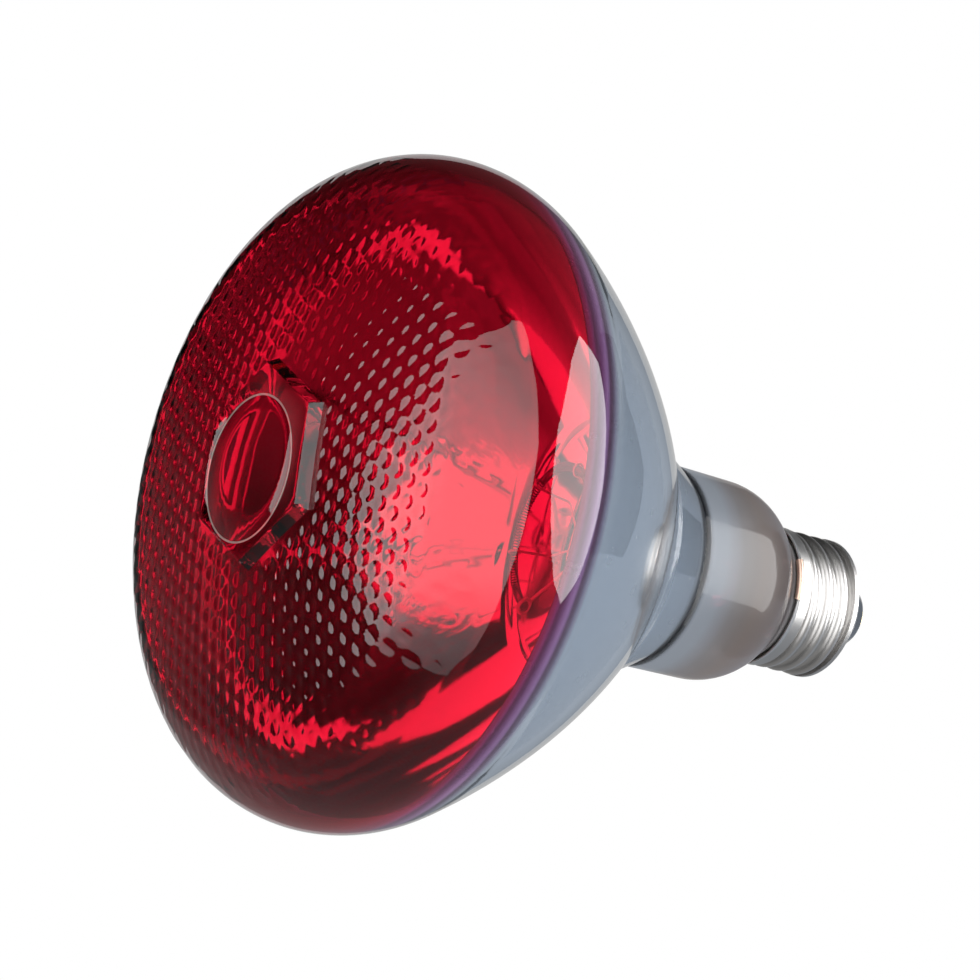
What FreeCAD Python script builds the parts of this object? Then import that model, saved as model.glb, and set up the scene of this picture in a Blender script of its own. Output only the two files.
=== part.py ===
import FreeCAD, Part
import math
import os

# An infrared heat lamp bulb with an E27 screw cap, standing with its lens up.
# Z is the lamp's axis. Z = 0 is the end of the centre contact, and the lens is at the top.
# Sizes are in mm. A name ending in _r is a radius, and one ending in _z is a height above Z = 0.

# Glass bulb
bulb_r = 61.0
bulb_length = 136.0
rim_curve_r = 20.7
rim_curve_turn = 62.5
rim_blend_r = 10.2
lens_dome_r = 245.0
reflector_top_curve_r = 22.8
reflector_side_curve_r = 131.0
reflector_foot_r = 24.8
reflector_foot_z = 61.0
neck_step_r = 19.1
neck_step_z = 49.7
neck_r = 18.9
shoulder_top_z = 36.0
shoulder_end_z = 16.0
seal_r = 10.6
seal_end_z = 12.0
body_wall = 2.5
neck_wall = 1.3
mould_line_depth = 0.5
mould_line_width = 1.4

# Boss in the middle of the lens
boss_rise = 1.6
boss_base_flats = 31.8
boss_top_flats = 31.2
boss_turn = -107.0
boss_ring_r = 13.2
boss_ring_x = -1.4
boss_ring_y = 0.9
boss_ring_width = 0.6
boss_ring_depth = 0.2

# Mirror layer inside the bulb
mirror_thickness = 0.2
mirror_rim_drop = 2.6
mirror_neck_z = 45.7

# Screw cap, to the E27 form of thread
thread_crest_r = 13.15
thread_root_r = 12.05
thread_pitch = 3.62
thread_ridge_round = 1.025
thread_valley_round = 0.95
thread_end_z = 19.0
thread_start_turn = 40.0
thread_overrun = 0.25
shell_wall = 0.3
shell_foot_r = 8.6
shell_foot_z = 4.6
shell_cone_z = 8.6
band_height = 0.8
collar_r = 13.25
collar_rise = 1.2
lip_r = 13.6
lip_z = 23.2
lip_height = 0.9
insulator_face_r = 5.6
insulator_face_z = 1.0
insulator_top_z = 6.6
contact_r = 4.9
contact_face_z = 0.4
contact_thickness = 0.5
barrel_r = 1.6
barrel_wall = 0.5
barrel_height = 3.6
solder_face_r = 2.2
solder_plug_height = 1.8
cement_foot_z = 13.0
cement_top_z = 21.0
side_solder_r = 0.7
side_solder_span = 32.0

# Glass stem that carries the filament
stem_turn = -160.0
tube_r = 5.2
tube_wall = 1.1
flare_rise = 9.0
pinch_z = 38.0
pinch_height = 9.0
pinch_width = 14.0
pinch_thickness = 4.4
pinch_taper = 6.0
exhaust_r = 2.1
exhaust_wall = 0.6
exhaust_tip_z = 9.0
arbor_r = 1.5
button_r = 2.6
button_z = 60.0

# Wires, filament and heat deflector
inner_lead_r = 0.45
outer_lead_r = 0.2
lead_offset = 3.2
lead_joint_z = 42.0
lead_bend_z = 56.0
lead_bend_r = 1.2
neutral_lead_drop = 3.6
neutral_lead_rise = 0.3
support_wire_r = 0.25
support_count = 4
filament_z = 68.0
filament_ring_r = 14.0
filament_coil_r = 0.9
filament_gap = 70.0
hook_inset = 3.0
deflector_r = 15.8
deflector_thickness = 0.4
deflector_z = 51.0

# Clearances
glass_clearance = 0.05
wire_clearance = 0.1
seat_clearance = 0.1

UP = FreeCAD.Vector(0, 0, 1)
ORIGIN = FreeCAD.Vector(0, 0, 0)

# Heights and radii that follow from the sizes above
dome_top_z = bulb_length - boss_rise
rim_turn = math.radians(rim_curve_turn)
rim_reach = rim_curve_r - rim_blend_r
rim_blend_centre_r = bulb_r - rim_curve_r + rim_reach * math.cos(rim_turn)
rim_blend_fall = lens_dome_r - math.sqrt((lens_dome_r - rim_blend_r) ** 2 - rim_blend_centre_r ** 2)
rim_blend_centre_z = dome_top_z - rim_blend_fall
widest_z = rim_blend_centre_z - rim_reach * math.sin(rim_turn)
seal_inner_r = seal_r - neck_wall
tube_inner_r = tube_r - tube_wall
tube_top_z = pinch_z - pinch_taper
pinch_top_z = pinch_z + pinch_height
flare_top_z = seal_end_z + flare_rise
thread_ridge_path_r = thread_crest_r - thread_ridge_round
thread_valley_path_r = thread_root_r + thread_valley_round
thread_middle_r = (thread_crest_r + thread_root_r) / 2
thread_start_z = shell_cone_z + band_height
cement_r = thread_root_r - shell_wall - seat_clearance


def at(radius, height, angle=0.0):
    """The point at a radius and a height, turned by an angle in degrees about the axis."""
    turn = math.radians(angle)
    return FreeCAD.Vector(radius * math.cos(turn), radius * math.sin(turn), height)


def line(start, end):
    return Part.LineSegment(start, end).toShape()


def arc(centre, radius, start_angle, end_angle):
    """An arc in the plane of the profile, from one angle in degrees to another."""
    angles = (start_angle, (start_angle + end_angle) / 2, end_angle)
    return Part.Arc(*[centre + direction(angle) * radius for angle in angles]).toShape()


def angle_of(vector):
    return math.degrees(math.atan2(vector.z, vector.x))


def direction(angle):
    """A unit vector in the plane of the profile."""
    turn = math.radians(angle)
    return FreeCAD.Vector(math.cos(turn), 0, math.sin(turn))


def meeting_point(first, first_reach, second, second_reach):
    """The point on the right of the way from first to second that lies at the given reach of each."""
    between = second - first
    span = between.Length
    along = (first_reach ** 2 - second_reach ** 2 + span ** 2) / (2 * span)
    aside = math.sqrt(first_reach ** 2 - along ** 2)
    right = FreeCAD.Vector(between.z, 0, -between.x).normalize()
    return first + between.normalize() * along + right * aside


def s_curve(start, end):
    """Two equal arcs that lead from a vertical run to another one below it and nearer the axis."""
    fall = start.z - end.z
    shift = start.x - end.x
    radius = (fall ** 2 + shift ** 2) / (4 * shift)
    turn = math.degrees(math.asin(fall / (2 * radius)))
    upper = arc(start - FreeCAD.Vector(radius, 0, 0), radius, 0, -turn)
    lower = arc(end + FreeCAD.Vector(radius, 0, 0), radius, 180 - turn, 180)
    return [upper, lower]


def polyline(points):
    return [line(a, b) for a, b in zip(points, points[1:])]


def turned(edges):
    """A solid of revolution about the lamp's axis from a closed chain of edges."""
    return Part.Face(Part.Wire(edges)).revolve(ORIGIN, UP, 360)


def ring(inner_r, outer_r, foot_z, top_z):
    """A plain ring, or a disc where the inner radius is zero."""
    corners = [at(inner_r, foot_z), at(outer_r, foot_z), at(outer_r, top_z), at(inner_r, top_z)]
    return turned(polyline(corners + corners[:1]))


def wire(points, radius, bend_r=lead_bend_r):
    """A round wire along straight runs that are joined by bends of one radius."""
    edges = []
    start = points[0]
    for before, corner, after in zip(points, points[1:], points[2:]):
        into = (corner - before).normalize()
        out = (after - corner).normalize()
        half = into.getAngle(out) / 2
        setback = bend_r * math.tan(half)
        bend_start = corner - into * setback
        bend_end = corner + out * setback
        inward = (out - into).normalize()
        bend_middle = corner + inward * (bend_r / math.cos(half) - bend_r)
        edges.append(line(start, bend_start))
        edges.append(Part.Arc(bend_start, bend_middle, bend_end).toShape())
        start = bend_end
    edges.append(line(start, points[-1]))
    section = Part.Wire(Part.Circle(points[0], points[1] - points[0], radius).toShape())
    return Part.Wire(edges).makePipeShell([section], True, False)


# Glass bulb
def mould_line(middle, along, into):
    """A small groove that runs round the glass, as the corners of its profile."""
    half = along * (mould_line_width / 2)
    return [middle - half, middle + into * mould_line_depth, middle + half]


def bulb_form(body_inset=0.0, neck_inset=0.0, grooved=False):
    """The bulb's whole form as one solid, drawn in by one amount at the body and another at the neck."""
    dome_centre = at(0, dome_top_z - lens_dome_r)
    rim_centre = at(bulb_r - rim_curve_r, widest_z)
    blend_centre = at(rim_blend_centre_r, rim_blend_centre_z)
    dome_end = angle_of(blend_centre - dome_centre)
    top_centre = at(bulb_r - reflector_top_curve_r, widest_z)
    foot = at(reflector_foot_r, reflector_foot_z)
    side_reach = reflector_side_curve_r - reflector_top_curve_r
    side_centre = meeting_point(top_centre, side_reach, foot, reflector_side_curve_r)
    top_end = angle_of(top_centre - side_centre)
    side_end = angle_of(foot - side_centre)

    edges = [
        arc(dome_centre, lens_dome_r - body_inset, 90, dome_end),
        arc(blend_centre, rim_blend_r - body_inset, dome_end, rim_curve_turn),
        arc(rim_centre, rim_curve_r - body_inset, rim_curve_turn, 0),
        arc(top_centre, reflector_top_curve_r - body_inset, 0, top_end),
        arc(side_centre, reflector_side_curve_r - body_inset, top_end, side_end),
    ]
    side_foot = side_centre + direction(side_end) * (reflector_side_curve_r - body_inset)
    step = at(neck_step_r - neck_inset, neck_step_z)
    shoulder_top = at(neck_r - neck_inset, shoulder_top_z)
    below = [side_foot, step, shoulder_top]
    if grooved:
        down = (step - side_foot).normalize()
        inward = FreeCAD.Vector(down.z, 0, -down.x)
        upper_line = mould_line(side_foot + down * (mould_line_width / 2), down, inward)
        below = upper_line + mould_line(step, -UP, FreeCAD.Vector(-1, 0, 0)) + [shoulder_top]
    edges += polyline(below)
    shoulder_end = at(seal_r - neck_inset, shoulder_end_z)
    edges += s_curve(shoulder_top, shoulder_end)
    seal_end = at(seal_r - neck_inset, seal_end_z)
    axis_top = at(0, dome_top_z - body_inset)
    edges += polyline([shoulder_end, seal_end, at(0, seal_end_z), axis_top])
    return turned(edges)


def hexagon(flats, height):
    corners = [at(flats / math.sqrt(3), height, boss_turn + 60 * i) for i in range(7)]
    return Part.makePolygon(corners)


def lens_boss():
    """The six-sided boss, from inside the lens' wall up to its flat top, with its shallow ring."""
    base_z = dome_top_z - (lens_dome_r - math.sqrt(lens_dome_r ** 2 - boss_base_flats ** 2 / 3))
    buried_z = base_z - body_wall / 2
    base = Part.Face(hexagon(boss_base_flats, buried_z)).extrude(UP * (base_z - buried_z))
    foot = hexagon(boss_base_flats, base_z)
    top = hexagon(boss_top_flats, bulb_length)
    bevel = Part.makeLoft([foot, top], True, True)
    half_width = boss_ring_width / 2
    groove_foot_z = bulb_length - boss_ring_depth
    groove = ring(boss_ring_r - half_width, boss_ring_r + half_width, groove_foot_z, bulb_length)
    groove.translate(FreeCAD.Vector(boss_ring_x, boss_ring_y, 0))
    return base.fuse(bevel).cut(groove)


def space_round_glass():
    """The glass' whole form with its clearance, to cut from what lies against the glass."""
    return bulb_form(-glass_clearance, -glass_clearance)


def glass_envelope():
    hollow = bulb_form(body_wall, neck_wall)
    return bulb_form(grooved=True).fuse(lens_boss()).cut(hollow).removeSplitter()


def reflector_mirror():
    outer = bulb_form(body_wall + glass_clearance, neck_wall + glass_clearance)
    inset = glass_clearance + mirror_thickness
    inner = bulb_form(body_wall + inset, neck_wall + inset)
    return outer.cut(inner).common(ring(0, bulb_r, mirror_neck_z, widest_z - mirror_rim_drop))


# Screw cap
def helix_rod(path_r, section_r, start_z, turns):
    """A round rod wound on a helix of the thread's pitch."""
    edges = []
    for index in range(turns):
        one_turn = Part.makeHelix(thread_pitch, thread_pitch, path_r)
        one_turn.translate(UP * (start_z + index * thread_pitch))
        edges += one_turn.Edges
    circle = Part.Circle(at(path_r, start_z), FreeCAD.Vector(0, 1, 0), section_r)
    rod = Part.Wire(edges).makePipeShell([Part.Wire(circle.toShape())], True, True)
    rod.rotate(ORIGIN, UP, thread_start_turn)
    return rod


def thread_form(inset=0.0):
    """A round bar with the cap's rounded ridges and valleys, longer at both ends than the thread."""
    turns = math.ceil((thread_end_z - shell_foot_z) / thread_pitch) + 1
    start_z = thread_end_z - (turns - thread_overrun) * thread_pitch
    valley_start_z = start_z - thread_pitch / 2
    ridge = helix_rod(thread_ridge_path_r, thread_ridge_round - inset, start_z, turns)
    valley = helix_rod(thread_valley_path_r, thread_valley_round + inset, valley_start_z, turns + 1)
    core = ring(0, thread_middle_r - inset, start_z - thread_pitch, lip_z + thread_pitch)
    return core.fuse(ridge).cut(valley)


def cap_cone(inset, drop=0.0):
    """The tapered foot of the cap and the plain band on it, up to the start of the thread."""
    corners = [
        at(0, shell_foot_z),
        at(shell_foot_r - inset, shell_foot_z),
        at(collar_r - inset, shell_cone_z),
        at(collar_r - inset, thread_start_z - drop),
        at(0, thread_start_z - drop),
    ]
    return turned(polyline(corners + corners[:1]))


def collar_section(inset=0.0):
    """Half the section of the plain collar and the flared lip above the thread."""
    corners = [
        at(0, thread_end_z),
        at(thread_root_r - inset, thread_end_z),
        at(collar_r - inset, thread_end_z + collar_rise),
        at(collar_r - inset, lip_z - lip_height),
        at(lip_r - inset, lip_z),
        at(0, lip_z),
    ]
    return polyline(corners + corners[:1])


def cap_form(inset, drop):
    """The cap's thread between its band and its collar, all drawn in by the inset."""
    far_r = 2 * thread_crest_r
    below = ring(0, far_r, -lip_z, thread_start_z - drop)
    above = ring(0, far_r, thread_end_z + collar_rise, 2 * lip_z)
    thread = thread_form(inset).cut(below).cut(above)
    return thread.fuse([cap_cone(inset, drop), turned(collar_section(inset))])


def screw_shell():
    """The pressed shell: its outside less an inside of the same form, drawn in by the wall."""
    mouth = ring(0, shell_foot_r - shell_wall, shell_foot_z - shell_wall, shell_cone_z)
    return cap_form(0, 0).cut(cap_form(shell_wall, shell_wall)).cut(mouth)


def cap_insulator():
    """The black glass foot of the cap, which fills the shell's cone and carries the contact."""
    face = at(insulator_face_r, insulator_face_z)
    edge = at(shell_foot_r - shell_wall - seat_clearance, shell_foot_z - shell_wall)
    foot = turned(polyline([at(0, insulator_face_z), face, edge, at(0, edge.z), at(0, insulator_face_z)]))
    neck = ring(0, edge.x, edge.z, insulator_top_z)
    above = ring(0, collar_r, insulator_top_z, thread_start_z)
    seat = cap_cone(shell_wall + seat_clearance).cut(above)
    bore = ring(0, barrel_r + seat_clearance, 0, insulator_top_z)
    return foot.fuse([neck, seat]).cut(bore).removeSplitter()


def centre_contact():
    disc = ring(0, contact_r, contact_face_z, contact_face_z + contact_thickness)
    barrel = ring(0, barrel_r, contact_face_z, contact_face_z + barrel_height)
    bore = ring(0, barrel_r - barrel_wall, contact_face_z, contact_face_z + barrel_height)
    return disc.fuse(barrel).cut(bore).removeSplitter()


def contact_solder():
    """The drop of solder on the contact, with its plug in the barrel."""
    plug_r = barrel_r - barrel_wall
    corners = [
        at(0, 0),
        at(solder_face_r, 0),
        at(solder_face_r + contact_face_z, contact_face_z),
        at(plug_r, contact_face_z),
        at(plug_r, solder_plug_height),
        at(0, solder_plug_height),
    ]
    return turned(polyline(corners + corners[:1]))


def side_solder():
    """The bead of solder along the lip of the shell that holds the end of the outer lead."""
    circle = Part.Circle(at(lip_r, lip_z), FreeCAD.Vector(0, 1, 0), side_solder_r)
    section = Part.Face(Part.Wire(circle.toShape())).cut(Part.Face(Part.Wire(collar_section())))
    bead = section.revolve(ORIGIN, UP, side_solder_span)
    bead.rotate(ORIGIN, UP, 90 - side_solder_span / 2)
    return bead.cut(space_round_glass()).cut(outer_lead_neutral(wire_clearance))


def basing_cement():
    """The cement between the shell and the neck, with a channel for the outer lead."""
    filling = ring(0, cement_r, cement_foot_z, cement_top_z)
    return filling.cut([space_round_glass(), outer_lead_neutral(wire_clearance)])


# Glass stem
def stem_tube():
    """The flare, the tube and the flat pinch that seals the leads, blown and pressed in one."""
    flare_r = seal_inner_r - glass_clearance
    tube_top = tube_top_z - seat_clearance
    rim = at(flare_r, seal_end_z)
    foot = at(tube_r, flare_top_z)
    inner_rim = at(flare_r - tube_wall, seal_end_z)
    inner_foot = at(tube_inner_r, flare_top_z)
    above = [at(tube_r, tube_top_z), at(0, tube_top_z), at(0, tube_top), at(tube_inner_r, tube_top)]
    edges = flare_curve(rim, foot) + polyline([foot] + above + [inner_foot])
    edges += flare_curve(inner_rim, inner_foot) + [line(inner_rim, rim)]
    tube = turned(Part.__sortEdges__(edges))
    round_foot = Part.Wire(Part.Circle(at(0, tube_top_z), UP, tube_r).toShape())
    flat = pinch_outline(pinch_z)
    neck = Part.makeLoft([round_foot, flat], True)
    block = Part.Face(flat).extrude(UP * pinch_height)
    glass = tube.fuse([neck, block])
    for side in (-1, 1):
        lead = at(lead_offset, tube_top, 90 * side)
        glass = glass.cut(Part.makeCylinder(inner_lead_r + wire_clearance, pinch_top_z, lead))
    return glass


def flare_curve(rim, foot):
    """Two equal arcs from the wide rim of the flare up to its tube."""
    mirrored = s_curve(FreeCAD.Vector(rim.x, 0, -rim.z), FreeCAD.Vector(foot.x, 0, -foot.z))
    return [edge.mirror(ORIGIN, UP) for edge in mirrored]


def pinch_outline(height):
    """The pinch's section: a flat bar across the two leads, with round ends."""
    half_length = (pinch_width - pinch_thickness) / 2
    half_thickness = pinch_thickness / 2
    a = FreeCAD.Vector(half_thickness, -half_length, height)
    b = FreeCAD.Vector(half_thickness, half_length, height)
    c = FreeCAD.Vector(-half_thickness, half_length, height)
    d = FreeCAD.Vector(-half_thickness, -half_length, height)
    far_end = Part.Arc(b, FreeCAD.Vector(0, pinch_width / 2, height), c).toShape()
    near_end = Part.Arc(d, FreeCAD.Vector(0, -pinch_width / 2, height), a).toShape()
    return Part.Wire([line(a, b), far_end, line(c, d), near_end])


def exhaust_tube():
    """The pumping tube, drawn to a closed round tip in the cap."""
    inner_r = exhaust_r - exhaust_wall
    centre = at(0, exhaust_tip_z + exhaust_r)
    top_z = tube_top_z - 2 * seat_clearance
    outer = ring(0, exhaust_r, centre.z, top_z).fuse(Part.makeSphere(exhaust_r, centre))
    inner = ring(0, inner_r, centre.z, top_z).fuse(Part.makeSphere(inner_r, centre))
    return outer.cut(inner).removeSplitter()


def arbor_rod():
    """The solid glass rod on the pinch, with the button that holds the filament's supports."""
    foot_z = pinch_top_z + glass_clearance
    rod = ring(0, arbor_r, foot_z, button_z)
    button = Part.makeSphere(button_r, at(0, button_z))
    glass = rod.fuse(button).removeSplitter()
    for index in range(support_count):
        glass = glass.cut(filament_support(index, wire_clearance))
    return glass


# Wires and filament
def filament_angle(index):
    """The places of the supports, spaced evenly along the filament's arc."""
    span = (360 - filament_gap) / (support_count + 1)
    return filament_gap / 2 + span * (index + 1)


def filament():
    """The coiled filament, as the round bar that its turns fill."""
    arc_angle = 360 - filament_gap
    coil = Part.makeTorus(filament_ring_r, filament_coil_r, at(0, filament_z), UP, -180, 180, arc_angle)
    coil.rotate(at(0, filament_z), UP, filament_gap / 2)
    return coil


def hook_r(wire_r):
    return filament_coil_r + wire_clearance + wire_r


def hook(angle, wire_r):
    """A loop of wire round the filament, at an angle about the lamp's axis."""
    along = FreeCAD.Vector(-math.sin(math.radians(angle)), math.cos(math.radians(angle)), 0)
    return Part.makeTorus(hook_r(wire_r), wire_r, at(filament_ring_r, filament_z, angle), along)


def filament_support(index, clearance=0.0):
    """One support wire, from inside the button to its loop round the filament."""
    angle = filament_angle(index)
    end_r = filament_ring_r - hook_r(support_wire_r)
    start = at(button_r / 2, button_z, angle)
    elbow = at(end_r - lead_bend_r, button_z, angle)
    end = at(end_r, filament_z, angle)
    return wire([start, elbow, end], support_wire_r + clearance).fuse(hook(angle, support_wire_r))


def inner_lead(side):
    """One inner lead, from the joint in the pinch, through the deflector, to a loop on the filament."""
    angle = side * (filament_gap / 2 + hook_inset)
    start = at(lead_offset, lead_joint_z, 90 * side)
    bend = at(lead_offset, lead_bend_z, 90 * side)
    ring_point = at(filament_ring_r, filament_z, angle)
    end = ring_point + (bend - ring_point).normalize() * hook_r(inner_lead_r)
    return wire([start, bend, end], inner_lead_r).fuse(hook(angle, inner_lead_r))


def outer_lead_live():
    """The outer lead from the pinch down to the solder in the centre contact."""
    top = at(lead_offset, lead_joint_z - seat_clearance, -90)
    corner = at(lead_offset, exhaust_tip_z - lead_bend_r, -90)
    foot = at(0, solder_plug_height + seat_clearance)
    return wire([top, corner, at(0, corner.z), foot], outer_lead_r)


def outer_lead_neutral(clearance=0.0):
    """The outer lead from the pinch, under the end of the neck and up to the lip of the shell."""
    top = at(lead_offset, lead_joint_z - seat_clearance, 90)
    turn_z = seal_end_z - neutral_lead_drop
    bend_z = thread_end_z + neutral_lead_rise
    side_r = thread_root_r - shell_wall - wire_clearance - outer_lead_r
    end_r = lip_r - shell_wall - 2 * outer_lead_r
    points = [top, at(lead_offset, turn_z, 90), at(side_r, turn_z, 90)]
    points += [at(side_r, bend_z, 90), at(end_r, lip_z, 90)]
    return wire(points, outer_lead_r + clearance)


def heat_deflector():
    """The thin disc in the neck that keeps the filament's heat from the cap."""
    top_z = deflector_z + deflector_thickness
    disc = ring(arbor_r + seat_clearance, deflector_r, deflector_z, top_z)
    hole_r = inner_lead_r + wire_clearance
    for side in (-1, 1):
        place = at(lead_offset, deflector_z, 90 * side)
        disc = disc.cut(Part.makeCylinder(hole_r, deflector_thickness, place))
    return disc


def on_stem(shape):
    """Turns a piece that is drawn in the stem's own directions to its place in the lamp."""
    turned_shape = shape.copy()
    turned_shape.rotate(ORIGIN, UP, stem_turn)
    return turned_shape


def build():
    """Every piece of the lamp by its node's name."""
    pieces = {
        "glass_envelope": glass_envelope(),
        "reflector_mirror": reflector_mirror(),
        "screw_shell": screw_shell(),
        "cap_insulator": cap_insulator(),
        "centre_contact": centre_contact(),
        "contact_solder": contact_solder(),
    }
    in_stem_directions = {
        "side_solder": side_solder(),
        "basing_cement": basing_cement(),
        "stem_tube": stem_tube(),
        "exhaust_tube": exhaust_tube(),
        "arbor_rod": arbor_rod(),
        "heat_deflector": heat_deflector(),
        "filament": filament(),
        "inner_lead_neutral": inner_lead(1),
        "inner_lead_live": inner_lead(-1),
        "outer_lead_neutral": outer_lead_neutral(),
        "outer_lead_live": outer_lead_live(),
    }
    for index in range(support_count):
        in_stem_directions[f"filament_support_{index + 1}"] = filament_support(index)
    for name, shape in in_stem_directions.items():
        pieces[name] = on_stem(shape)
    return pieces


os.makedirs("parts", exist_ok=True)
for name, shape in build().items():
    shape.exportStep(f"parts/{name}.step")
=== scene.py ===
import math

import bmesh
import bpy
from mathutils import Matrix, Vector
from mathutils.geometry import delaunay_2d_cdt


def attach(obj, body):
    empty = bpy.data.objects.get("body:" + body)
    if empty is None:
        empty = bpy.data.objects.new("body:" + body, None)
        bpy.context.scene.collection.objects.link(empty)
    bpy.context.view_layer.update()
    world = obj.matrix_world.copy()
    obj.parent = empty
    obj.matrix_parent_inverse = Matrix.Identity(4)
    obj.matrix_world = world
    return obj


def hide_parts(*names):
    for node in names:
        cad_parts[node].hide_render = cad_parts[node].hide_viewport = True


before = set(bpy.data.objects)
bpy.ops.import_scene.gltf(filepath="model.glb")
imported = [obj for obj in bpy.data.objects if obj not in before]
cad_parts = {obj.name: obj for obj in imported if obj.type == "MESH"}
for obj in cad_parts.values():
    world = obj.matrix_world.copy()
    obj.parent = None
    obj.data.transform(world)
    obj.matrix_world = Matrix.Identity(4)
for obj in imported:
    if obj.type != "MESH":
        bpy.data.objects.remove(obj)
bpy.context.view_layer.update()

MM = 0.001

# Sizes of the glass in mm and degrees, the same as in the CAD model
BULB_R = 61.0
BULB_LENGTH = 136.0
RIM_CURVE_R = 20.7
RIM_CURVE_TURN = 62.5
RIM_BLEND_R = 10.2
LENS_DOME_R = 245.0
REFLECTOR_TOP_CURVE_R = 22.8
REFLECTOR_SIDE_CURVE_R = 131.0
REFLECTOR_FOOT = (24.8, 61.0)
NECK_STEP = (19.1, 49.7)
SHOULDER_TOP = (18.9, 36.0)
SHOULDER_END = (10.6, 16.0)
SEAL_END_Z = 12.0
BODY_WALL = 2.5
NECK_WALL = 1.3
MOULD_LINE_DEPTH = 0.5
MOULD_LINE_WIDTH = 1.4
MOULD_LINE_ROUNDING = 1.5
BOSS_RISE = 1.6
BOSS_BASE_FLATS = 31.8
BOSS_TOP_FLATS = 31.2
BOSS_TURN = -107.0
BOSS_RING_R = 13.2
BOSS_RING_MIDDLE = (-1.4, 0.9)
BOSS_RING_WIDTH = 0.6
BOSS_RING_DEPTH = 0.2
MIRROR_GAP = 0.05
MIRROR_THICKNESS = 0.2
MIRROR_RIM_DROP = 2.6
MIRROR_NECK_Z = 45.7

# Filament in mm and degrees; its ring, its gap and the radius of its coil are as in the CAD model
FILAMENT_Z = 68.0
FILAMENT_RING_R = 14.0
FILAMENT_COIL_R = 0.9
FILAMENT_GAP = 70.0
FILAMENT_WIRE_R = 0.13
FILAMENT_TURNS = 130
STEM_TURN = -160.0

# Finer detail in mm: the boss' edges and printed ring, the dimples and the mirror's upper edge
BOSS_SKIRT = 0.55
BOSS_EDGE = 0.25
BOSS_PRINT_WIDTH = 0.36
DIMPLE_PITCH = 3.7
DIMPLE_R = 1.42
DIMPLE_DEPTH = 0.12
DIMPLE_FADE_R = 47.0
DIMPLE_FADED_DEPTH = 0.03
DIMPLE_FIELD_R = 58.0
DIMPLE_BOSS_CLEARANCE = 0.9 * DIMPLE_R
DIMPLE_LATTICE_MARGIN = 1.3
FIELD_BORDER = 0.3
LENS_MESH_R = 58.6
MIRROR_EDGE_FLARE = 0.02

# Fineness of the meshes: steps along each part of the profile, points round each ring
SEGMENTS = 240
DOME_STEPS = 16
BLEND_STEPS = 4
RIM_STEPS = 14
TOP_STEPS = 8
SIDE_STEPS = 16
LINE_STEPS = 6
SHOULDER_STEPS = 9
SEAL_STEPS = 3
GROOVE_STEPS = 6
DIMPLE_RINGS = ((0.34, 8), (0.66, 12), (0.88, 16), (1.0, 18), (1.09, 18))
BOSS_BASE_STEPS = 16
BOSS_TOP_STEPS = 14
BOSS_RING_STEPS = 96
BOSS_CIRCLES = ((9.0, 40), (6.0, 26), (3.0, 12), (0.0, 1))
COIL_STEPS = 12
WIRE_SIDES = 6

# Values that follow
DOME_TOP_Z = BULB_LENGTH - BOSS_RISE
DOME_CENTRE_Z = DOME_TOP_Z - LENS_DOME_R
TURN = math.radians(RIM_CURVE_TURN)
BLEND_R = BULB_R - RIM_CURVE_R + (RIM_CURVE_R - RIM_BLEND_R) * math.cos(TURN)
BLEND_Z = DOME_CENTRE_Z + math.sqrt((LENS_DOME_R - RIM_BLEND_R) ** 2 - BLEND_R ** 2)
WIDEST_Z = BLEND_Z - (RIM_CURVE_R - RIM_BLEND_R) * math.sin(TURN)


# Profile of the glass
def arc_points(centre, radius, start, end, count):
    """Points of an arc in the profile's plane, from one angle in radians to another."""
    turns = [start + (end - start) * i / count for i in range(count + 1)]
    return [(centre[0] + radius * math.cos(t), centre[1] + radius * math.sin(t)) for t in turns]


def line_points(start, end, count):
    """Points of a straight line, with both its ends."""
    return [tuple(a + (b - a) * i / count for a, b in zip(start, end)) for i in range(count + 1)]


def meeting_point(first, first_reach, second, second_reach):
    """The point on the axis' side that lies at one reach from each of two points."""
    dr, dz = second[0] - first[0], second[1] - first[1]
    span = math.hypot(dr, dz)
    along = (first_reach ** 2 - second_reach ** 2 + span ** 2) / (2 * span)
    aside = math.sqrt(first_reach ** 2 - along ** 2)
    return (
        first[0] + (dr * along + dz * aside) / span,
        first[1] + (dz * along - dr * aside) / span,
    )


def s_curve(start, end, count):
    """Two equal arcs that turn from straight down to inwards and back to straight down."""
    fall, shift = start[1] - end[1], start[0] - end[0]
    radius = (fall ** 2 + shift ** 2) / (4 * shift)
    turn = math.asin(fall / (2 * radius))
    upper = arc_points((start[0] - radius, start[1]), radius, 0, -turn, count)
    lower = arc_points((end[0] + radius, end[1]), radius, math.pi - turn, math.pi, count)
    return upper + lower[1:]


def groove_points(middle, run, inward):
    """A rounded groove across the profile."""
    points = []
    for i in range(GROOVE_STEPS + 1):
        t = 2 * i / GROOVE_STEPS - 1
        rounded = math.cos(t * math.pi / 2) ** MOULD_LINE_ROUNDING if abs(t) < 1 else 0
        along, depth = t * MOULD_LINE_WIDTH / 2, MOULD_LINE_DEPTH * rounded
        points.append(tuple(middle + run * along + inward * depth))
    return points


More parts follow.
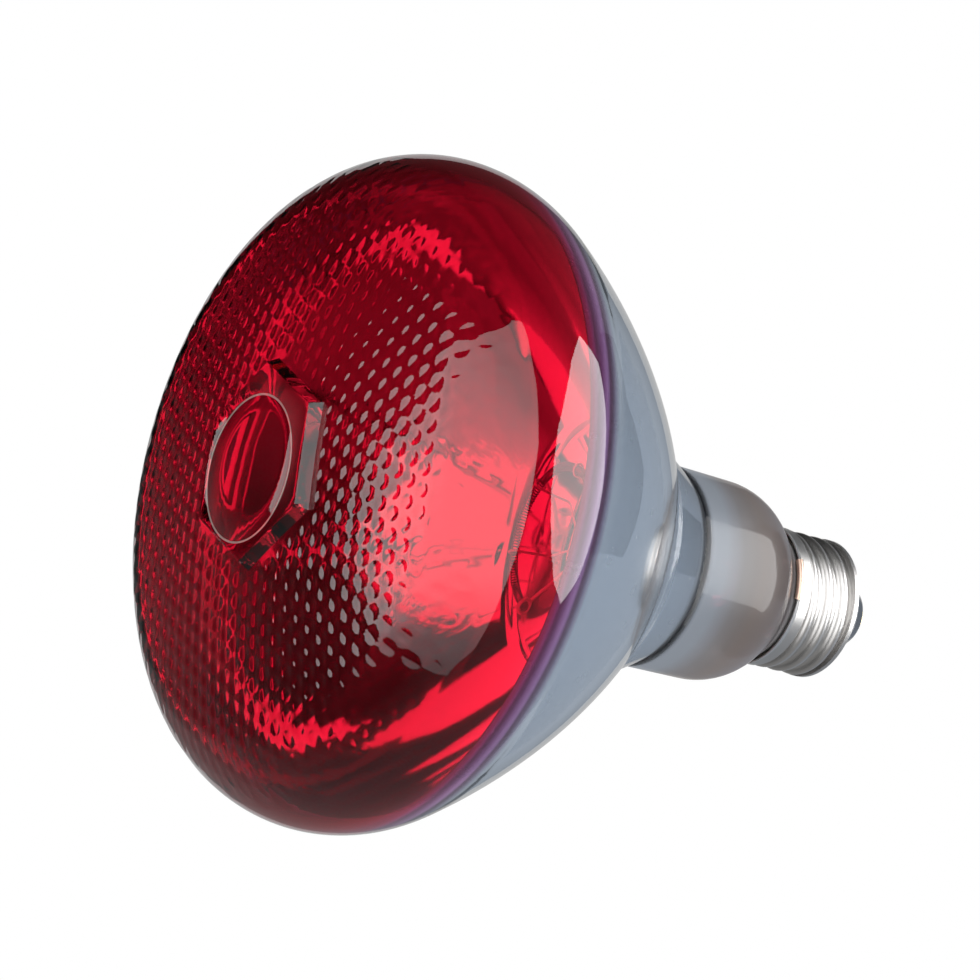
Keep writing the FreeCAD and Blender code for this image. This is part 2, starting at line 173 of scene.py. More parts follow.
def profile(body_inset=0.0, neck_inset=0.0, grooved=False, fine=1):
    """The bulb's outline as (radius, height) points, from the lens' middle to the neck's end."""
    dome_centre, blend_centre = (0.0, DOME_CENTRE_Z), (BLEND_R, BLEND_Z)
    rim_centre = (BULB_R - RIM_CURVE_R, WIDEST_Z)
    top_centre = (BULB_R - REFLECTOR_TOP_CURVE_R, WIDEST_Z)
    reach = REFLECTOR_SIDE_CURVE_R - REFLECTOR_TOP_CURVE_R
    side_centre = meeting_point(top_centre, reach, REFLECTOR_FOOT, REFLECTOR_SIDE_CURVE_R)
    dome_end = math.atan2(BLEND_Z - DOME_CENTRE_Z, BLEND_R)
    top_end = math.atan2(top_centre[1] - side_centre[1], top_centre[0] - side_centre[0])
    side_end = math.atan2(REFLECTOR_FOOT[1] - side_centre[1], REFLECTOR_FOOT[0] - side_centre[0])
    arcs = (
        (dome_centre, LENS_DOME_R, math.pi / 2, dome_end, DOME_STEPS),
        (blend_centre, RIM_BLEND_R, dome_end, TURN, BLEND_STEPS),
        (rim_centre, RIM_CURVE_R, TURN, 0, RIM_STEPS),
        (top_centre, REFLECTOR_TOP_CURVE_R, 0, top_end, TOP_STEPS),
        (side_centre, REFLECTOR_SIDE_CURVE_R, top_end, side_end, SIDE_STEPS),
    )
    points = []
    for centre, radius, start, end, steps in arcs:
        arc = arc_points(centre, radius - body_inset, start, end, steps * fine)
        points += arc[1:] if points else arc
    foot = points[-1]
    step = (NECK_STEP[0] - neck_inset, NECK_STEP[1])
    shoulder_top = (SHOULDER_TOP[0] - neck_inset, SHOULDER_TOP[1])
    shoulder_end = (SHOULDER_END[0] - neck_inset, SHOULDER_END[1])
    if grooved:
        points.pop()
        run = Vector((step[0] - foot[0], step[1] - foot[1])).normalized()
        inward = Vector((run.y, -run.x))
        half = MOULD_LINE_WIDTH / 2
        points += groove_points(Vector(foot) + run * half, run, inward)
        lower = Vector(step)
        points += line_points(points[-1], tuple(lower + Vector((0, half))), LINE_STEPS)[1:-1]
        points += groove_points(lower, Vector((0, -1)), Vector((-1, 0)))
    else:
        points += line_points(foot, step, LINE_STEPS)[1:]
    points += line_points(points[-1], shoulder_top, LINE_STEPS)[1:]
    points += s_curve(shoulder_top, shoulder_end, SHOULDER_STEPS)[1:]
    points += line_points(points[-1], (shoulder_end[0], SEAL_END_Z), SEAL_STEPS)[1:]
    return points


def lens_height(radius):
    """Height of the lens' plain outside at a radius, with no dimple and no boss."""
    dome_end_r = LENS_DOME_R * BLEND_R / (LENS_DOME_R - RIM_BLEND_R)
    blend_end_r = BLEND_R + RIM_BLEND_R * math.cos(TURN)
    if radius < dome_end_r:
        return DOME_CENTRE_Z + math.sqrt(LENS_DOME_R ** 2 - radius ** 2)
    if radius < blend_end_r:
        return BLEND_Z + math.sqrt(RIM_BLEND_R ** 2 - (radius - BLEND_R) ** 2)
    return WIDEST_Z + math.sqrt(RIM_CURVE_R ** 2 - (radius - BULB_R + RIM_CURVE_R) ** 2)


# Lens with its dimples and boss
def circle(radius, count, middle=(0.0, 0.0), shift=0.0):
    """Flat points round a circle, turned by a share of one step."""
    turns = [2 * math.pi * (k + shift) / count for k in range(count)]
    return [(middle[0] + radius * math.cos(t), middle[1] + radius * math.sin(t)) for t in turns]


def hexagon(flats, steps):
    """Flat points along the sides of the boss' hexagon."""
    corner_r = flats / math.sqrt(3)
    points = []
    for side in range(6):
        a = math.radians(BOSS_TURN + 60 * side)
        b = math.radians(BOSS_TURN + 60 * side + 60)
        for k in range(steps):
            t = k / steps
            x = corner_r * (math.cos(a) * (1 - t) + math.cos(b) * t)
            y = corner_r * (math.sin(a) * (1 - t) + math.sin(b) * t)
            points.append((x, y))
    return points


def hexagon_reach(x, y, flats):
    """Distance from a point out to the side of the boss' hexagon, below zero outside it."""
    reach = flats / 2
    for i in range(6):
        side = math.radians(BOSS_TURN + 30 + 60 * i)
        reach = min(reach, flats / 2 - x * math.cos(side) - y * math.sin(side))
    return reach


def dimple_centres():
    """Middles of the dimples: a lattice of triangles, lined up with the sides of the boss."""
    along = math.radians(BOSS_TURN + 90 + 30)
    u = Vector((math.cos(along), math.sin(along))) * DIMPLE_PITCH
    v = Vector((math.cos(along + math.pi / 3), math.sin(along + math.pi / 3))) * DIMPLE_PITCH
    reach = int(DIMPLE_FIELD_R / DIMPLE_PITCH * DIMPLE_LATTICE_MARGIN)
    centres = []
    for i in range(-reach, reach + 1):
        for j in range(-reach, reach + 1):
            middle = u * i + v * j
            clear = -hexagon_reach(middle.x, middle.y, BOSS_BASE_FLATS + 2 * BOSS_SKIRT)
            if middle.length < DIMPLE_FIELD_R - DIMPLE_R and clear > DIMPLE_BOSS_CLEARANCE:
                centres.append(middle)
    return centres


def lens_points():
    """The lens' outside as flat points with heights, for a triangulation."""
    points = []
    for middle in dimple_centres():
        faded = (middle.length - DIMPLE_FADE_R) / (DIMPLE_FIELD_R - DIMPLE_FADE_R)
        faded = min(1.0, max(0.0, faded))
        depth = DIMPLE_DEPTH + (DIMPLE_FADED_DEPTH - DIMPLE_DEPTH) * faded
        points.append((middle.x, middle.y, lens_height(middle.length) - depth))
        for number, (share, count) in enumerate(DIMPLE_RINGS):
            sink = depth * max(0.0, 1 - share ** 2)
            for x, y in circle(DIMPLE_R * share, count, middle, 0.5 * (number % 2)):
                points.append((x, y, lens_height(math.hypot(x, y)) - sink))
    for x, y in hexagon(BOSS_BASE_FLATS + 2 * BOSS_SKIRT, BOSS_BASE_STEPS):
        points.append((x, y, lens_height(math.hypot(x, y))))
    edge_z = BULB_LENGTH - BOSS_EDGE
    points += [(x, y, edge_z) for x, y in hexagon(BOSS_TOP_FLATS, BOSS_TOP_STEPS)]
    inner_flats = BOSS_TOP_FLATS - 2 * BOSS_EDGE
    points += [(x, y, BULB_LENGTH) for x, y in hexagon(inner_flats, BOSS_TOP_STEPS)]
    half = BOSS_RING_WIDTH / 2
    for out, sink in ((-half, 0), (0, BOSS_RING_DEPTH), (half, 0)):
        ring = circle(BOSS_RING_R + out, BOSS_RING_STEPS, BOSS_RING_MIDDLE)
        points += [(x, y, BULB_LENGTH - sink) for x, y in ring]
    for radius, count in BOSS_CIRCLES:
        points += [(x, y, BULB_LENGTH) for x, y in circle(radius, count)]
    for radius in (DIMPLE_FIELD_R + FIELD_BORDER, LENS_MESH_R):
        points += [(x, y, lens_height(radius)) for x, y in circle(radius, SEGMENTS)]
    return points


# Meshes
def revolve_rows(mesh, rows, slot, flip=False):
    """Bands of faces round the axis through rows of (radius, height) points in mm."""
    loops = []
    for radius, height in rows:
        if radius < 1e-6:
            loops.append([mesh.verts.new((0, 0, height * MM))])
            continue
        around = circle(radius, SEGMENTS)
        loops.append([mesh.verts.new((x * MM, y * MM, height * MM)) for x, y in around])
    for upper, lower in zip(loops, loops[1:]):
        for k in range(SEGMENTS):
            n = (k + 1) % SEGMENTS
            if len(upper) == 1:
                corners = [upper[0], lower[k], lower[n]]
            elif len(lower) == 1:
                corners = [upper[k], lower[0], upper[n]]
            else:
                corners = [upper[k], lower[k], lower[n], upper[n]]
            if flip:
                corners.reverse()
            face = mesh.faces.new(corners)
            face.material_index = slot
            face.smooth = True


def finished(mesh, name, materials, sharp_angle=35.0):
    """Turns a bmesh into an object, with its sharp edges marked."""
    bmesh.ops.remove_doubles(mesh, verts=mesh.verts, dist=1e-7)
    mesh.normal_update()
    limit = math.radians(sharp_angle)
    for edge in mesh.edges:
        if len(edge.link_faces) == 2 and edge.calc_face_angle(0) > limit:
            edge.smooth = False
    data = bpy.data.meshes.new(name)
    mesh.to_mesh(data)
    mesh.free()
    for material in materials:
        data.materials.append(material)
    piece = bpy.data.objects.new(name, data)
    bpy.context.scene.collection.objects.link(piece)
    return piece


def glass_envelope(materials):
    """The blown glass: the dimpled lens with its boss, and the body, the neck and the inside."""
    mesh = bmesh.new()
    points = lens_points()
    flat = [Vector((x, y)) for x, y, _ in points]
    verts, _, faces, origins, _, _ = delaunay_2d_cdt(flat, [], [], 0, 1e-5, True)
    corners = []
    for v, source in zip(verts, origins):
        z = points[source[0]][2] if source else lens_height(v.length)
        corners.append(mesh.verts.new((v.x * MM, v.y * MM, z * MM)))
    for face in faces:
        made = mesh.faces.new([corners[i] for i in face])
        made.smooth = True
        made.material_index = 0
    outside = profile(grooved=True, fine=2)
    outside = [p for p in outside if not (p[1] > WIDEST_Z and p[0] < LENS_MESH_R)]
    outside = [(LENS_MESH_R, lens_height(LENS_MESH_R))] + outside
    inside = profile(BODY_WALL, NECK_WALL)
    revolve_rows(mesh, outside, 0)
    revolve_rows(mesh, inside, 1, flip=True)
    revolve_rows(mesh, [outside[-1], inside[-1]], 0)
    return finished(mesh, "glass_bulb", materials)


def mirror_layer(materials):
    """The thin mirror between the rim and the neck, with its bright inside and its satin back."""
    mesh = bmesh.new()
    bottom, top = MIRROR_NECK_Z, WIDEST_Z - MIRROR_RIM_DROP

    def between(gap):
        points = profile(BODY_WALL + gap, NECK_WALL + gap, fine=2)
        rows = [p for p in points if bottom < p[1] < top]
        return [(rows[0][0] + MIRROR_EDGE_FLARE, top)] + rows + [(rows[-1][0], bottom)]

    back = between(MIRROR_GAP)
    front = between(MIRROR_GAP + MIRROR_THICKNESS)
    revolve_rows(mesh, back, 0)
    revolve_rows(mesh, front, 1, flip=True)
    revolve_rows(mesh, [front[0], back[0]], 0)
    revolve_rows(mesh, [back[-1], front[-1]], 0)
    return finished(mesh, "mirror_layer", materials, 60)


def filament_coil(material):
    """The filament's coil: a wire that winds round a ring broken by the gap of the leads."""
    mesh = bmesh.new()
    steps = FILAMENT_TURNS * COIL_STEPS
    ring_middle = Vector((0, 0, FILAMENT_Z))
    rings = []
    for i in range(steps + 1):
        ring_turn = math.radians(FILAMENT_GAP / 2 + (360 - FILAMENT_GAP) * i / steps + STEM_TURN)
        outward = Vector((math.cos(ring_turn), math.sin(ring_turn), 0))
        ahead = Vector((-outward.y, outward.x, 0))
        coil_turn = 2 * math.pi * i / COIL_STEPS
        aside = outward * math.cos(coil_turn) + Vector((0, 0, math.sin(coil_turn)))
        middle = outward * FILAMENT_RING_R + ring_middle
        middle += aside * (FILAMENT_COIL_R - FILAMENT_WIRE_R)
        ring = []
        for k in range(WIRE_SIDES):
            turn = 2 * math.pi * k / WIRE_SIDES
            offset = (aside * math.cos(turn) + ahead * math.sin(turn)) * FILAMENT_WIRE_R
            ring.append(mesh.verts.new((middle + offset) * MM))
        rings.append(ring)
    for a, b in zip(rings, rings[1:]):
        for k in range(WIRE_SIDES):
            n = (k + 1) % WIRE_SIDES
            mesh.faces.new((a[k], a[n], b[n], b[k])).smooth = True
    mesh.faces.new(rings[0][::-1])
    mesh.faces.new(rings[-1])
    bmesh.ops.recalc_face_normals(mesh, faces=mesh.faces)
    return finished(mesh, "filament_coil", [material], 80)


# Nodes of the materials
GLASS_IOR = 1.5
PLAIN_SHINE = 0.5
NECK_SHINE = 0.12
MIX_FIRST, MIX_SECOND, MIX_RESULT = 6, 7, 2


def grey(value):
    return (value, value, value)


def new_material(name):
    """A material with one shader, which is returned with its node tree."""
    material = bpy.data.materials.new(name)
    material.use_nodes = True
    tree = material.node_tree
    tree.nodes.clear()
    output = tree.nodes.new("ShaderNodeOutputMaterial")
    shader = tree.nodes.new("ShaderNodeBsdfPrincipled")
    tree.links.new(shader.outputs["BSDF"], output.inputs["Surface"])
    return material, tree, shader


def share_along(tree, axis, low, high, of_direction=False):
    """A point's place along an axis, from 0 at the low end to 1 at the high end."""
    place = tree.nodes.new("ShaderNodeNewGeometry").outputs["Position"]
    if of_direction:
        unit = tree.nodes.new("ShaderNodeVectorMath")
        unit.operation = "NORMALIZE"
        tree.links.new(place, unit.inputs[0])
        place = unit.outputs["Vector"]
    split = tree.nodes.new("ShaderNodeSeparateXYZ")
    share = tree.nodes.new("ShaderNodeMapRange")
    share.inputs["From Min"].default_value = low
    share.inputs["From Max"].default_value = high
    tree.links.new(place, split.inputs["Vector"])
    tree.links.new(split.outputs[axis], share.inputs["Value"])
    return share.outputs["Result"]


def colour_ramp(tree, share, stops):
    """A colour from (share, colour) stops."""
    ramp = tree.nodes.new("ShaderNodeValToRGB")
    elements = ramp.color_ramp.elements
    while len(elements) < len(stops):
        elements.new(0.5)
    for element, (position, colour) in zip(elements, stops):
        element.position = position
        element.color = (*colour, 1)
    tree.links.new(share, ramp.inputs["Fac"])
    return ramp.outputs["Color"]


def height_ramp(tree, stops):
    """A colour that changes with height, from (height in mm, colour) stops."""
    low, high = stops[0][0] * MM, stops[-1][0] * MM
    scaled = [((height * MM - low) / (high - low), colour) for height, colour in stops]
    return colour_ramp(tree, share_along(tree, "Z", low, high), scaled)


def noise_bump(tree, shader, scale, strength, distance=0.0002, detail=4.0):
    """Fine unevenness of a surface."""
    place = tree.nodes.new("ShaderNodeNewGeometry")
    noise = tree.nodes.new("ShaderNodeTexNoise")
    noise.inputs["Scale"].default_value = scale
    noise.inputs["Detail"].default_value = detail
    bump = tree.nodes.new("ShaderNodeBump")
    bump.inputs["Strength"].default_value = strength
    bump.inputs["Distance"].default_value = distance
    tree.links.new(place.outputs["Position"], noise.inputs["Vector"])
    tree.links.new(noise.outputs["Fac"], bump.inputs["Height"])
    tree.links.new(bump.outputs["Normal"], shader.inputs["Normal"])
    return noise


def maths(tree, operation, first, second=None):
    """A maths node on an input and on a second one or a number."""
    node = tree.nodes.new("ShaderNodeMath")
    node.operation = operation
    tree.links.new(first, node.inputs[0])
    if isinstance(second, float):
        node.inputs[1].default_value = second
    elif second is not None:
        tree.links.new(second, node.inputs[1])
    return node.outputs["Value"]


def lay_over(tree, cover, film):
    """Lays a film over a material's surface, as far as its cover goes from 0 to 1."""
    mix = tree.nodes.new("ShaderNodeMixShader")
    output = next(node for node in tree.nodes if node.type == "OUTPUT_MATERIAL")
    under = output.inputs["Surface"].links[0].from_socket
    tree.links.new(cover, mix.inputs[0])
    tree.links.new(under, mix.inputs[1])
    tree.links.new(film.outputs["BSDF"], mix.inputs[2])
    tree.links.new(mix.outputs["Shader"], output.inputs["Surface"])


# Materials
def plain_glass(name, colour):
    """Clear glass, a little uneven."""
    material, tree, shader = new_material(name)
    shader.inputs["Base Color"].default_value = (*colour, 1)
    shader.inputs["Transmission Weight"].default_value = 1.0
    shader.inputs["IOR"].default_value = GLASS_IOR
    shader.inputs["Roughness"].default_value = 0.01
    noise_bump(tree, shader, scale=120, strength=0.05, distance=0.0003, detail=2.0)
    return material


def metal(name, colour, rough, scale=900, strength=0.15, metallic=1.0):
    """A metal, or another opaque material, whose roughness varies between two values."""
    material, tree, shader = new_material(name)
    shader.inputs["Base Color"].default_value = (*colour, 1)
    shader.inputs["Metallic"].default_value = metallic
    noise = noise_bump(tree, shader, scale, strength, distance=0.00005)
    varied = tree.nodes.new("ShaderNodeMapRange")
    varied.inputs["To Min"].default_value = rough[0]
    varied.inputs["To Max"].default_value = rough[1]
    tree.links.new(noise.outputs["Fac"], varied.inputs["Value"])
    tree.links.new(varied.outputs["Result"], shader.inputs["Roughness"])
    return material


def dull_neck(tree, shader):
    """Makes the glass of the neck mirror less light than the rest of the bulb."""
    dull, plain = grey(NECK_SHINE), grey(PLAIN_SHINE)
    shine = height_ramp(tree, ((20, dull), (47, dull), (52, plain), (136, plain)))
    tree.links.new(shine, shader.inputs["Specular IOR Level"])


def mirror_haze(tree):
    """The mirror's aluminium thins out down the neck, from a grey film to a brownish haze; at the
    seal end a lighter, thicker grey film is painted light over the shaded gap between the glass
    and the shell.
    """
    film = tree.nodes.new("ShaderNodeBsdfPrincipled")
    film.inputs["Roughness"].default_value = 0.38
    film.inputs["Specular IOR Level"].default_value = 0.3
    # Painted light: the lighter grey below 23.4 mm lightens the gap at the seal end, which lies
    # in shade
    seal_painted_light_grey, film_grey = (0.46, 0.45, 0.46), (0.31, 0.345, 0.40)
    colours = height_ramp(tree, (
        (20, seal_painted_light_grey), (23.4, seal_painted_light_grey), (25.5, (0.22, 0.20, 0.21)), (29, (0.26, 0.21, 0.20)),
        (36, (0.29, 0.24, 0.22)), (41, (0.26, 0.25, 0.26)), (45, film_grey), (136, film_grey),
    ))
    cover = height_ramp(tree, (
        (20, grey(0.9)), (23.4, grey(0.9)), (25.5, grey(0.5)), (30, grey(0.55)), (38, grey(0.62)),
        (42, grey(0.78)), (48.4, grey(0.9)), (49.4, grey(0)), (136, grey(0)),
    ))
    tree.links.new(colours, film.inputs["Base Color"])
    lay_over(tree, cover, film)


def printed_ring(tree):
    """A thin grey ring, printed on the flat of the boss."""
    place = tree.nodes.new("ShaderNodeNewGeometry")
    offset = tree.nodes.new("ShaderNodeVectorMath")
    offset.operation = "SUBTRACT"
    offset.inputs[1].default_value = [size * MM for size in (*BOSS_RING_MIDDLE, BULB_LENGTH)]
    tree.links.new(place.outputs["Position"], offset.inputs[0])
    split = tree.nodes.new("ShaderNodeSeparateXYZ")
    tree.links.new(offset.outputs["Vector"], split.inputs["Vector"])
    x, y, z = (split.outputs[axis] for axis in "XYZ")
    squares = [maths(tree, "MULTIPLY", along, along) for along in (x, y)]
    reach = maths(tree, "SQRT", maths(tree, "ADD", *squares))
    near = maths(tree, "COMPARE", reach, BOSS_RING_R * MM)
    near.node.inputs[2].default_value = BOSS_PRINT_WIDTH / 2 * MM
    on_top = maths(tree, "GREATER_THAN", z, -BOSS_EDGE * MM)
    cover = maths(tree, "MULTIPLY", maths(tree, "MULTIPLY", near, on_top), 0.45)
    paint = tree.nodes.new("ShaderNodeBsdfPrincipled")
    paint.inputs["Base Color"].default_value = (0.50, 0.42, 0.38, 1)
    paint.inputs["Roughness"].default_value = 0.6
    lay_over(tree, cover, paint)


def bulb_glass():
    """Clear glass with the red lacquer over the lens, which fades behind the widest circle; at
    the lacquer's lower edge a dark band is painted shade and a magenta band is partly the
    lacquer's tint and partly painted highlight.
    """
    material, tree, shader = new_material("bulb_glass")
    neck = (0.80, 0.76, 0.72)
    clear = (0.93, 0.95, 0.95)
    red = (0.50, 0.004, 0.020)
    colours = height_ramp(tree, (
        (20, neck), (46, neck), (60, clear), (101.5, clear),
        # Painted shade: a dark band from 103.5 to 104.3 mm; painted highlight over the lacquer's
        # magenta tint from 105.0 to 106.6 mm
        (102.8, (0.40, 0.24, 0.36)), (103.5, (0.10, 0.03, 0.06)), (104.3, (0.14, 0.03, 0.07)),
        (105.0, (1.0, 0.22, 0.66)), (106.6, (0.95, 0.12, 0.42)), (108.4, (1.0, 0.012, 0.05)),
        (116, (0.70, 0.006, 0.03)), (122, red), (136, red),
    ))
    tree.links.new(colours, shader.inputs["Base Color"])
    shader.inputs["Transmission Weight"].default_value = 1.0
    shader.inputs["IOR"].default_value = GLASS_IOR
    shader.inputs["Roughness"].default_value = 0.015
    noise_bump(tree, shader, scale=90, strength=0.06, distance=0.0004, detail=2.0)
    dull_neck(tree, shader)
    printed_ring(tree)
    mirror_haze(tree)
    return material


def paint_nodes():
    """Materials of the CAD nodes that stay as they are."""
    black, grainy = (0.012, 0.012, 0.014), {"scale": 700, "strength": 0.4}
    looks = {
        "screw_shell": metal("nickel_plate", (0.52, 0.51, 0.50), (0.32, 0.42)),
        "cap_insulator": metal("black_glass", black, (0.05, 0.2), 300, 0.1, metallic=0.0),
        "centre_contact": metal("contact_brass", (0.80, 0.62, 0.30), (0.18, 0.32)),
        "contact_solder": metal("solder", (0.62, 0.62, 0.63), (0.3, 0.5), **grainy),
        "basing_cement": metal("cement", (0.55, 0.47, 0.40), (0.7, 0.9), 900, 0.8, metallic=0.0),
        "stem_tube": plain_glass("stem_glass", (0.95, 0.97, 0.96)),
        "heat_deflector": metal("deflector_sheet", (0.74, 0.74, 0.74), (0.25, 0.4)),
        "side_solder": metal("side_solder", (0.55, 0.40, 0.32), (0.3, 0.5), **grainy),
    }
    looks["exhaust_tube"] = looks["stem_tube"]
    looks["arbor_rod"] = looks["stem_tube"]
    nickel = metal("nickel_wire", (0.66, 0.64, 0.60), (0.25, 0.4))
    copper = metal("copper_wire", (0.72, 0.42, 0.28), (0.25, 0.4))
    for pole in ("neutral", "live"):
        looks[f"inner_lead_{pole}"] = nickel
        looks[f"outer_lead_{pole}"] = copper
    for number in range(1, 5):
        looks[f"filament_support_{number}"] = nickel
    for name, material in looks.items():
        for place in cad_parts[name].material_slots:
            place.material = material


# Pieces
inner_glass = plain_glass("inner_glass", (0.985, 0.985, 0.985))
dull_neck(inner_glass.node_tree, inner_glass.node_tree.nodes["Principled BSDF"])
bulb = glass_envelope([bulb_glass(), inner_glass])
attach(bulb, "root")
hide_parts("glass_envelope")

mirror_back = metal("mirror_back", (0.62, 0.67, 0.73), (0.22, 0.30), 250, 0.05)
mirror_front = metal("mirror_front", (0.90, 0.90, 0.90), (0.04, 0.08), 60, 0.10)
layer = mirror_layer([mirror_back, mirror_front])
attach(layer, "root")
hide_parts("reflector_mirror")

coil = filament_coil(metal("tungsten", (0.30, 0.30, 0.32), (0.35, 0.5)))
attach(coil, "root")
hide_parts("filament")

paint_nodes()


# Surroundings: a white shell for the camera, and skies and cards of light for what the lamp
# mirrors and lets through. Azimuths and elevations are in degrees, sizes in metres.
CARD_DISTANCE = 3.0
LENS_MIDDLE = (0, 0, 0.12)


def seen_at(azimuth, elevation, distance, middle=LENS_MIDDLE):
    """The point at an azimuth and an elevation, seen from the middle of the lens."""
    a, e = math.radians(azimuth), math.radians(elevation)
    flat = distance * math.cos(e)
    return (
        middle[0] + flat * math.cos(a),
        middle[1] + flat * math.sin(a),
        middle[2] + distance * math.sin(e),
    )


def lit_piece(name, corners, faces, strength=1.0, camera=False, glossy=False, transmission=False):
    """A piece of the studio that gives light, seen only by the kinds of ray that are named."""
    mesh = bpy.data.meshes.new(name)
    mesh.from_pydata(corners, [], faces)
    piece = bpy.data.objects.new(name, mesh)
    bpy.context.scene.collection.objects.link(piece)
    material = bpy.data.materials.new(name)
    material.use_nodes = True
    tree = material.node_tree
    tree.nodes.clear()
    output = tree.nodes.new("ShaderNodeOutputMaterial")
    glow = tree.nodes.new("ShaderNodeEmission")
    glow.inputs["Strength"].default_value = strength
    tree.links.new(glow.outputs["Emission"], output.inputs["Surface"])
    mesh.materials.append(material)
    piece.visible_camera = camera
    piece.visible_glossy = glossy
    piece.visible_transmission = transmission
    piece.visible_diffuse = False
    piece.visible_shadow = False
    return tree, glow


def sky_card(name, outline, middle, strength, **seen_by):
    """A card whose outline is given as azimuths and elevations seen from the lens."""
    corners = [seen_at(*place, CARD_DISTANCE) for place in (middle, *outline)]
    count = len(outline)
    faces = [(0, 1 + i, 1 + (i + 1) % count) for i in range(count)]
    return lit_piece(name, corners, faces, strength, **seen_by)


def fade_sideways(tree, glow, stops):
    """Makes a card's light change along X, from (share of the distance, brightness) stops."""
    share = share_along(tree, "X", -CARD_DISTANCE, CARD_DISTANCE)
    scaled = [((x + 1) / 2, grey(brightness)) for x, brightness in stops]
    tree.links.new(colour_ramp(tree, share, scaled), glow.inputs["Color"])


def shell(name, radius, **seen_by):
    """A sphere round the studio."""
    mesh = bmesh.new()
    bmesh.ops.create_icosphere(mesh, subdivisions=3, radius=radius)
    corners = [tuple(vert.co) for vert in mesh.verts]
    faces = [tuple(vert.index for vert in face.verts) for face in mesh.faces]
    mesh.free()
    return lit_piece(name, corners, faces, **seen_by)


def sky(name, radius, blend, minus_x, plus_x, **seen_by):
    """A shell whose light follows (elevation, colour) stops, one set on its -X side and one on
    its +X side, which meet across the blend."""
    tree, glow = shell(name, radius, **seen_by)
    height = share_along(tree, "Z", -1, 1, of_direction=True)
    mix = tree.nodes.new("ShaderNodeMix")
    mix.data_type = "RGBA"
    tree.links.new(share_along(tree, "X", *blend, of_direction=True), mix.inputs[0])
    for stops, place in ((minus_x, MIX_FIRST), (plus_x, MIX_SECOND)):
        scaled = [((math.sin(math.radians(rise)) + 1) / 2, colour) for rise, colour in stops]
        tree.links.new(colour_ramp(tree, height, scaled), mix.inputs[place])
    tree.links.new(mix.outputs[MIX_RESULT], glow.inputs["Color"])


def round_card(middle, half_angle, count=48):
    """The outline of a card that is round as seen from the lens."""
    ahead = Vector(seen_at(*middle, 1, (0, 0, 0)))
    aside = ahead.cross(Vector((0, 0, 1))).normalized()
    over = aside.cross(ahead)
    outline = []
    for i in range(count):
        turn = 2 * math.pi * i / count
        sideways = aside * math.cos(turn) + over * math.sin(turn)
        edge = ahead + sideways * math.tan(math.radians(half_angle))
        rise = math.asin(edge.z / edge.length)
        outline.append((math.degrees(math.atan2(edge.y, edge.x)), math.degrees(rise)))
    return outline


shell("backdrop", 5.0, camera=True)

GROUND = (0.45, 0.51, 0.60)
LIT_GROUND = (0.33, 0.375, 0.44)
sky(
    "mirrored_sky", 4.0, blend=(-0.4, 0.05),
    minus_x=(
        (-90, GROUND), (-50, LIT_GROUND), (-25, grey(0.30)), (0, grey(0.30)), (25, grey(0.22)),
        (45, grey(0.05)),
    ),
    plus_x=(
        (-90, GROUND), (-60, LIT_GROUND), (-35, grey(0.06)), (0, grey(0.008)), (40, grey(0.005)),
        (90, grey(0.005)),
    ),
    glossy=True,
)
HORIZON = ((9, grey(1.7)), (15.5, grey(1.7)))
sky(
    "inner_sky", 4.2, blend=(-0.5, 0.2),
    minus_x=(
        (-90, GROUND), (-50, LIT_GROUND), (-25, grey(0.16)), (8, grey(0.16)), *HORIZON,
        (17, grey(0.36)), (40, grey(0.42)), (50, grey(0.8)), (57, grey(1.3)),
    ),
    plus_x=(
        (-90, GROUND), (-55, LIT_GROUND), (-30, grey(0.10)), (8, grey(0.10)), *HORIZON,
        (17, grey(0.03)), (42, grey(0.03)), (50, grey(0.1)),
    ),
    transmission=True,
)
LENS_LIGHT_MIDDLE = (-20, 84)
LENS_LIGHT = round_card(LENS_LIGHT_MIDDLE, half_angle=39)
sky_card("lens_light", LENS_LIGHT, LENS_LIGHT_MIDDLE, strength=2.3, transmission=True)

VEIL = (
    (90, 46), (55, 57), (15, 59), (-8, 50), (-17, 36), (-21, 18), (-28, 14), (-44, 11), (-62, 8),
    (-90, 8), (-118, 8.5), (-128, 9.5), (-141, 20), (-150, 40), (-162, 57), (169, 63), (121, 60),
    (103, 50),
)
VEIL_FADE = ((-0.8, 0.3), (-0.45, 0.55), (-0.2, 1.0), (0.45, 1.0), (0.85, 0.65))
veil_tree, veil_glow = sky_card("veil", VEIL, (-85, 50), strength=3.2, glossy=True)
fade_sideways(veil_tree, veil_glow, VEIL_FADE)
FRONT = (
    (-20, -32), (-33, -22), (-46, -15), (-57, -9), (-67, -8), (-76, -10), (-84, -15), (-93, -23),
    (-103, -36), (-112, -50), (-104, -60), (-90, -63), (-77, -64), (-60, -64), (-45, -60),
    (-30, -56), (-18, -48),
)
sky_card("front_light", FRONT, (-62, -38), strength=6.4, glossy=True)
DARK = (
    (-92, -66), (-77, -65.5), (-60, -65), (-45, -61), (-30, -57), (-18, -49), (0, -50), (30, -58),
    (60, -70), (90, -80), (-90, -82),
)
sky_card("dark_card", DARK, (-30, -70), strength=0.02, glossy=True)
BEHIND_MIDDLE = (88, -31)
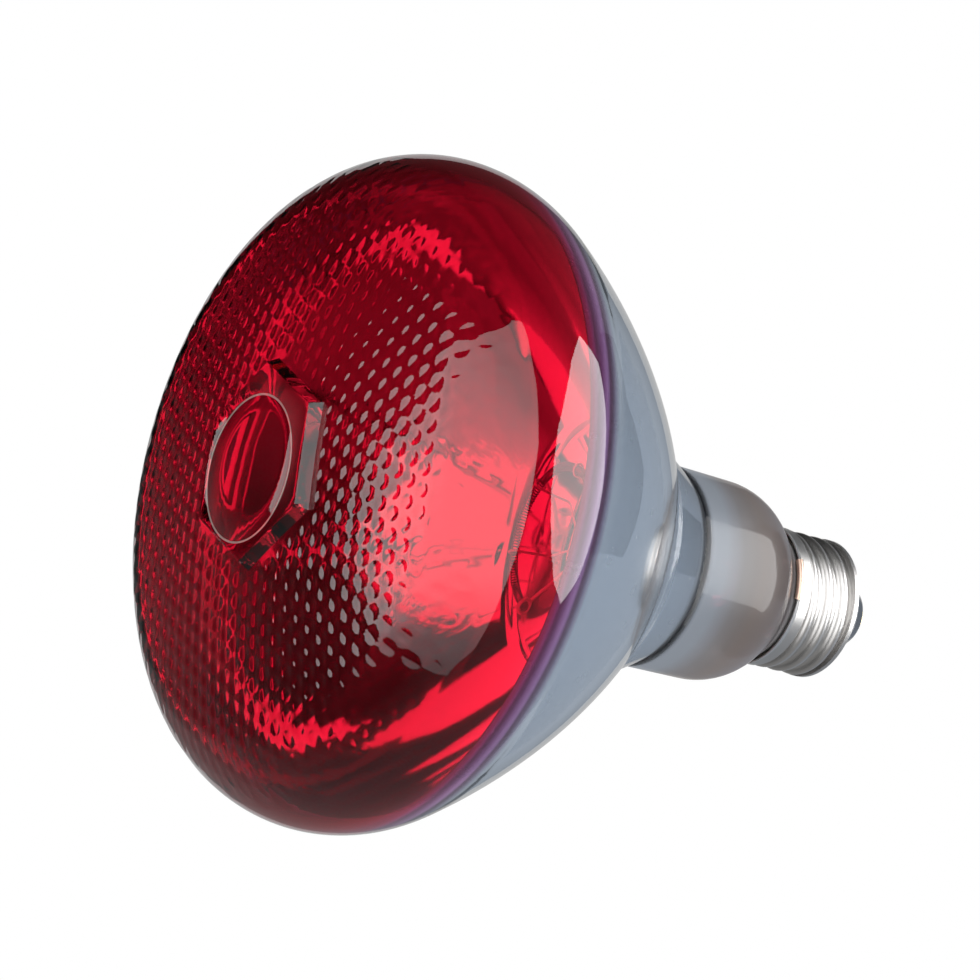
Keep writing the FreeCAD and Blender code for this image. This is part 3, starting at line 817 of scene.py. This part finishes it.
BEHIND_HALF_WIDTH, BEHIND_HALF_HEIGHT, BEHIND_COUNT = 30, 22, 24
BEHIND = []
for i in range(BEHIND_COUNT):
    turn = i * math.pi / (BEHIND_COUNT / 2)
    wide, high = BEHIND_HALF_WIDTH * math.cos(turn), BEHIND_HALF_HEIGHT * math.sin(turn)
    BEHIND.append((BEHIND_MIDDLE[0] + wide, BEHIND_MIDDLE[1] + high))
sky_card("light_from_behind", BEHIND, BEHIND_MIDDLE, strength=0.6, glossy=True)

# Only the light on dull surfaces comes from the world
world = bpy.data.worlds.new("studio")
world.use_nodes = True
world.node_tree.nodes["Background"].inputs["Color"].default_value = (*grey(0.9), 1)
bpy.context.scene.world = world

# Camera, from the photograph's outline: the lamp's axis leans in the picture by ROLL
CAMERA_TILT = math.radians(56.19)
ROLL = math.radians(15.0)
CAMERA_DISTANCE = 0.7984
CAMERA_OFFSET = (-0.02068, -0.00045)
SENSOR_WIDTH = 36
FOCAL_SHARE = 4.612

leaning = math.sin(CAMERA_TILT)
lamp_z = Vector((-leaning * math.cos(ROLL), leaning * math.sin(ROLL), math.cos(CAMERA_TILT)))
lamp_x = Vector((math.sin(ROLL), math.cos(ROLL), 0))
lamp_y = lamp_z.cross(lamp_x)
to_row = Matrix((lamp_x, lamp_y, lamp_z)).to_4x4()
to_middle = Matrix.Translation((0, 0, WIDEST_Z * MM))
to_seat = Matrix.Translation((-CAMERA_OFFSET[0], -CAMERA_OFFSET[1], CAMERA_DISTANCE))
camera_data = bpy.data.cameras.new("camera")
camera_data.sensor_width = SENSOR_WIDTH
camera_data.lens = SENSOR_WIDTH * FOCAL_SHARE
camera = bpy.data.objects.new("camera", camera_data)
bpy.context.scene.collection.objects.link(camera)
camera.matrix_world = to_middle @ to_row @ to_seat
bpy.context.scene.camera = camera

scene = bpy.context.scene
scene.view_settings.view_transform = "Standard"
scene.cycles.max_bounces = 24
scene.cycles.transmission_bounces = 20
scene.cycles.glossy_bounces = 12
scene.cycles.use_denoising = True
scene.cycles.caustics_reflective = True
scene.cycles.caustics_refractive = True
